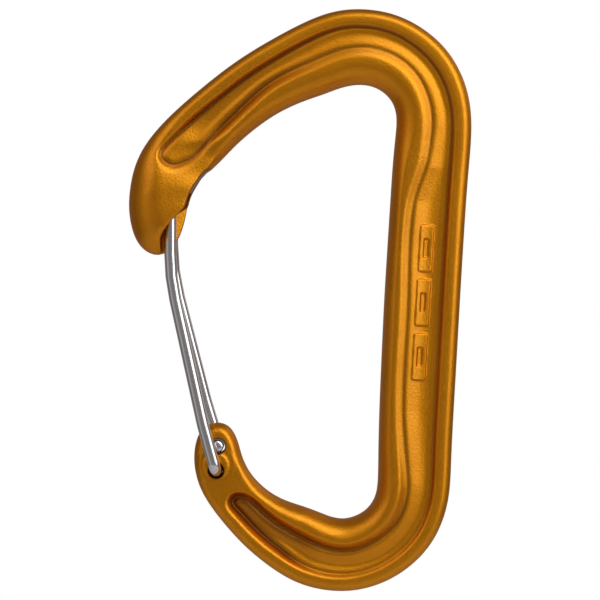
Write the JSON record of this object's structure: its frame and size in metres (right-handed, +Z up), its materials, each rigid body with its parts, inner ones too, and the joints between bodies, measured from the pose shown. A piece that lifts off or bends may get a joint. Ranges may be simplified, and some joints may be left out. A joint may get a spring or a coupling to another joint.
{
  "type": "wire-gate carabiner",
  "caption": "Offset-D climbing carabiner: forged I-beam aluminium body with a hooded hook nose and a sprung bent-wire gate.",
  "frame": {"origin": "middle of the inside of the top bow, where a bolt hanger or the rope bears", "axes": "+X from the gate side to the spine, +Y through the thickness away from the side with the lower wire leg, +Z up along the spine"},
  "size_m": [0.0589, 0.0112, 0.1],
  "materials": {
    "anodised_body": "satin amber anodising over a fine blasted grain",
    "gate_wire": "bright drawn stainless wire"
  },
  "bodies": {
    "frame": {"forged_body": "anodised_body"},
    "gate": {"gate_near_leg": "gate_wire"},
    "far_leg": {"gate_far_leg": "gate_wire"}
  },
  "joints": [
    {"name": "gate_hinge", "type": "hinge", "parent": "frame", "child": "gate", "pos_m": [-0.0245, 0, -0.0663], "axis": [0, 1, 0], "range_deg": [0, 34], "stiffness_Nm_per_rad": 0.45, "springref_deg": -17.19},
    {"name": "wire_twist", "type": "hinge", "parent": "gate", "child": "far_leg", "pos_m": [-0.03235, 0, -0.02045], "axis": [0, 1, 0], "range_deg": [0, 4]}
  ],
  "couplings": [
    {"joint": "wire_twist", "follows": "gate_hinge", "ratio": 0.0946}
  ]
}
